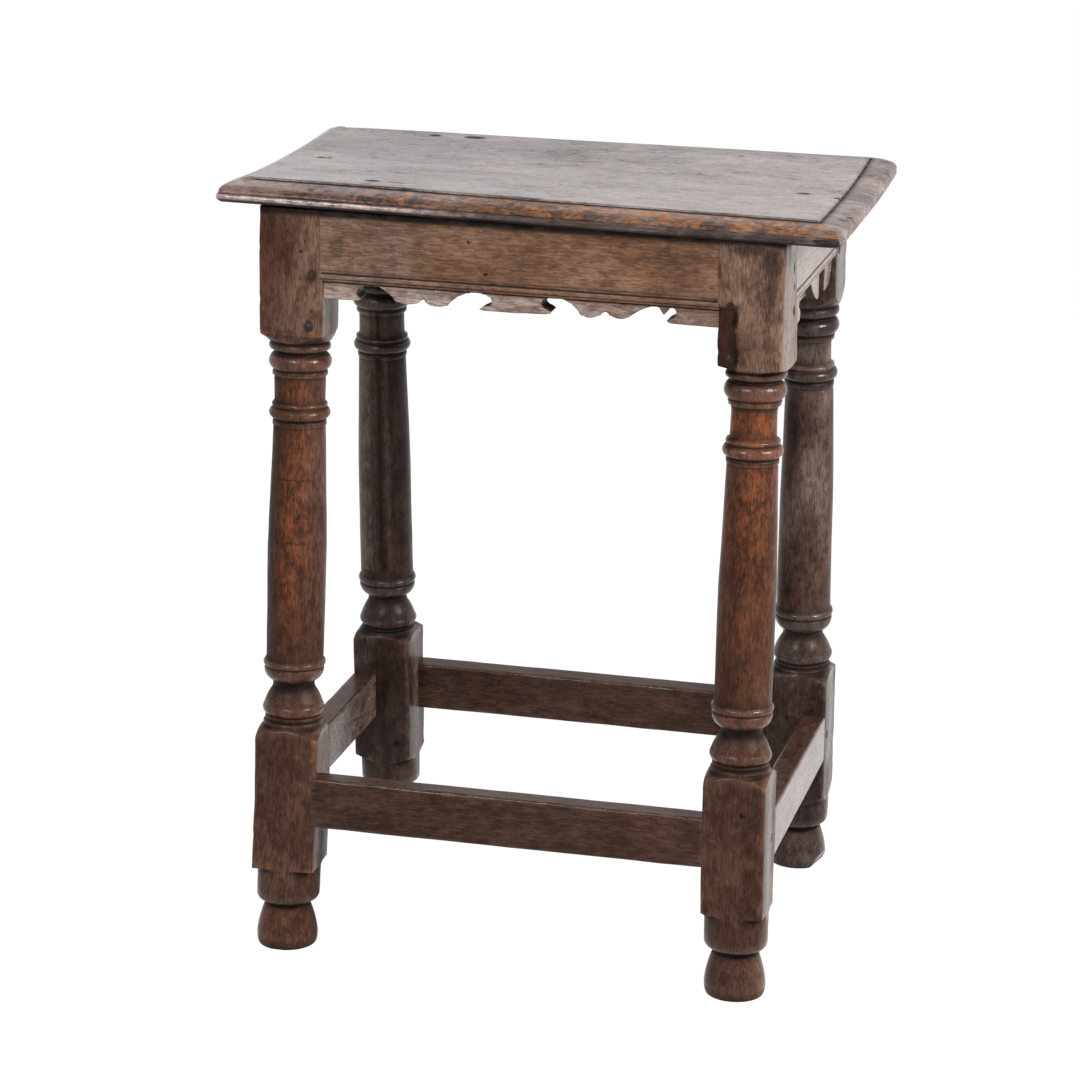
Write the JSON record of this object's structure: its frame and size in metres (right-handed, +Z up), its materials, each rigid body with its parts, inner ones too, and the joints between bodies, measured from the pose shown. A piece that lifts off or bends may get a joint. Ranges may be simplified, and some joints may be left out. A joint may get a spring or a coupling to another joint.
{
  "type": "joint stool",
  "caption": "Oak joint stool with turned legs, fretted rails and low stretchers under a moulded plank seat, pegged together.",
  "frame": {"origin": "on the floor under the middle of the stool", "axes": "+X to the right along the long side as seen from the front, +Y from the front to the back, +Z up"},
  "size_m": [0.44, 0.2906, 0.552],
  "materials": {
    "oak_frame": "waxed, dark and worn",
    "oak_top": "waxed and rubbed",
    "oak_pegs": "end grain, dark",
    "iron_nails": "blackened, worn"
  },
  "bodies": {
    "root": {"leg_front_left": "oak_frame", "leg_front_right": "oak_frame", "leg_back_left": "oak_frame", "leg_back_right": "oak_frame", "rail_front": "oak_frame", "rail_back": "oak_frame", "rail_left": "oak_frame", "rail_right": "oak_frame", "stretcher_front": "oak_frame", "stretcher_back": "oak_frame", "stretcher_left": "oak_frame", "stretcher_right": "oak_frame", "top_board": "oak_top", "rail_front_pegs": "oak_pegs", "rail_back_pegs": "oak_pegs", "rail_left_pegs": "oak_pegs", "rail_right_pegs": "oak_pegs", "stretcher_front_pegs": "oak_pegs", "stretcher_back_pegs": "oak_pegs", "stretcher_left_pegs": "oak_pegs", "stretcher_right_pegs": "oak_pegs", "top_pegs": "oak_pegs", "leg_nails": "iron_nails"}
  },
  "joints": []
}
